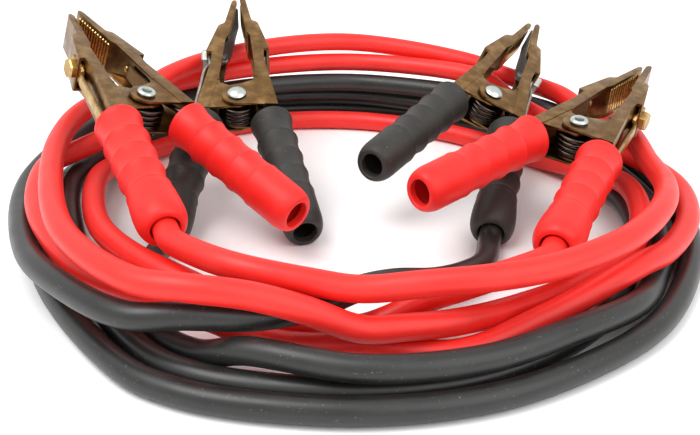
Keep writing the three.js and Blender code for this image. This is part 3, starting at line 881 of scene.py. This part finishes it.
def make_clamp(spec, shades):
    name, side = spec["name"], spec["side"]
    place = clamp_matrix(spec)
    free = f"{name}_free_half"
    red = spec["grip"] == "red"
    fastening = shades["yellow_zinc"] if red else shades["dull_zinc"]
    strap_shade = shades["bronze_braid"] if red else shades["tinned_braid"]
    # Jaw slots: plated steel with its painted dark reflection, then the painted edge highlight
    steel = [shades["plated"], shades["edge_highlight"]]
    for part, way, body, bore in (("cable", side, "set", 3.1), ("free", -side, free, 2.3)):
        # The biting ridges take the painted edge highlight
        teeth = ridges_mesh(way, shades["edge_highlight"])
        shell = jaw_mesh(way, bore)
        shell.materials.clear()
        for shade in steel:
            shell.materials.append(shade)
        whole = joined([shell, teeth])
        piece(f"{name}_{part}_jaw_look", whole, steel, body, place,
              [f"{name}_{part}_jaw"])
        piece(f"{name}_{part}_grip_look", grip_mesh(way, part == "cable"),
              [shades[f"{spec['grip']}_grip"]], body, place,
              [f"{name}_{part}_grip"])
    piece(f"{name}_rivet_look", rivet_mesh(red), [shades["zinc"]], "set", place,
          [f"{name}_rivet"])
    piece(f"{name}_bushing_look", bushing_mesh(), [shades["bushing"]], "set", place)
    piece(f"{name}_bolt_look", bolt_mesh(side), [fastening], "set", place,
          [f"{name}_bolt"])
    piece(f"{name}_lug_look", lug_mesh(side), [fastening], "set", place,
          [f"{name}_lug"])
    piece(f"{name}_strap_pin_look", pin_mesh(-side), [fastening], free, place,
          [f"{name}_strap_pin"])
    spring = piece(f"{name}_spring_look", spring_mesh(), [shades["spring"]], None, place,
                   [f"{name}_spring"])
    strap = piece(f"{name}_strap_look", strap_mesh(), [strap_shade], None, place,
                  [f"{name}_strap"])
    for bending in (spring, strap):
        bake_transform(bending)
    if not red:
        piece(f"{name}_bite_cover_look", bite_cover_mesh(side), [strap_shade], "set", place)


# Cables


def grip_end(spec, beyond):
    slope = math.atan2(GRIP_END[0] - GRIP_RIM[0], GRIP_RIM[1] - GRIP_END[1])
    local = Vector((spec["side"] * (GRIP_END[0] + beyond * math.sin(slope)),
                    GRIP_END[1] - beyond * math.cos(slope), 0.0))
    return np.array(clamp_matrix(spec) @ local)


def route_points(start, route, end):
    stations = []
    for degrees, radius, height in route:
        angle = math.radians(degrees)
        stations.append(np.array([COIL_MIDDLE[0] + radius * math.cos(angle),
                                  COIL_MIDDLE[1] + radius * math.sin(angle), height]))
    return [grip_end(start, SEAT_GAP), grip_end(start, CABLE_LEAD), *stations,
            grip_end(end, CABLE_LEAD), grip_end(end, SEAT_GAP)]


def centripetal(points, spacing):
    """A centripetal Catmull-Rom line through the points, set out at an even spacing."""
    ends = [2 * points[0] - points[1], *points, 2 * points[-1] - points[-2]]
    line = []
    for k in range(1, len(ends) - 2):
        a, b, c, d = ends[k - 1 : k + 3]
        gaps = [max(np.linalg.norm(q - p) ** 0.5, 1e-4) for p, q in ((a, b), (b, c), (c, d))]
        first = ((b - a) / gaps[0] - (c - a) / (gaps[0] + gaps[1]) + (c - b) / gaps[1]) * gaps[1]
        last = ((c - b) / gaps[1] - (d - b) / (gaps[1] + gaps[2]) + (d - c) / gaps[2]) * gaps[1]
        for t in np.arange(0, 1, 0.02):
            line.append(b + first * t + (-3 * b + 3 * c - 2 * first - last) * t * t
                        + (2 * b - 2 * c + first + last) * t ** 3)
    line.append(points[-1])
    line = np.array(line)
    run = np.concatenate([[0.0], np.cumsum(np.linalg.norm(np.diff(line, axis=0), axis=1))])
    count = int(run[-1] / spacing)
    at = np.linspace(0.0, run[-1], count + 1)
    return np.stack([np.interp(at, run, line[:, i]) for i in range(3)], axis=1), float(run[-1])


def make_cable(name, start, route, end, shade):
    path, length = centripetal(route_points(start, route, end), 3.0)
    inside = [grip_end(start, -d) for d in (9.0, 6.0, 3.0)]
    inside_end = [grip_end(end, -d) for d in (3.0, 6.0, 9.0)]
    whole = np.array([*inside, *path, *inside_end])
    cable = piece(f"{name}_look", tube(name, whole, CABLE_WIDE / 2, 28), [shade], "set",
                  nodes=[name])


# Floor and light


def area_light(name, place, aim, size, power):
    data = bpy.data.lights.new(name, "AREA")
    data.shape = "DISK"
    data.size = size
    data.energy = power
    light = bpy.data.objects.new(name, data)
    light.location = place
    light.rotation_euler = (Vector(aim) - Vector(place)).to_track_quat("-Z", "Y").to_euler()
    bpy.context.collection.objects.link(light)
    return light


def make_floor():
    material, tree = new_material("white_studio_floor")
    shader = put(tree, "ShaderNodeBsdfPrincipled", {"Base Color": colour("#FFFFFF"),
                                                    "Roughness": 0.9})
    close_material(tree, shader)
    size = FLOOR_REACH
    floor = bpy.data.objects.new("floor", mesh_of(
        "floor", [(-size, -size, 0), (size, -size, 0), (size, size, 0), (-size, size, 0)],
        [(0, 1, 2, 3)]))
    floor.data.materials.append(material)
    bpy.context.collection.objects.link(floor)


def make_light():
    world = bpy.data.worlds.new("studio")
    world.use_nodes = True
    world.node_tree.nodes["Background"].inputs["Color"].default_value = colour("#FFFFFF")
    world.node_tree.nodes["Background"].inputs["Strength"].default_value = WORLD_STRENGTH
    bpy.context.scene.world = world
    area_light("key", KEY_PLACE, (0, 0, 0), KEY_SIZE, KEY_POWER)
    area_light("fill", FILL_PLACE, (0, 0, 0), FILL_SIZE, FILL_POWER)
    bpy.context.scene.view_settings.view_transform = "Standard"


make_camera()
shades = make_materials()
red_left, black_left, black_right, red_right = CLAMPS
make_cable("red_cable", red_left, RED_ROUTE, red_right, shades["red_jacket"])
make_cable("black_cable", black_left, BLACK_ROUTE, black_right, shades["black_jacket"])
for clamp in CLAMPS:
    make_clamp(clamp, shades)
make_floor()
make_light()
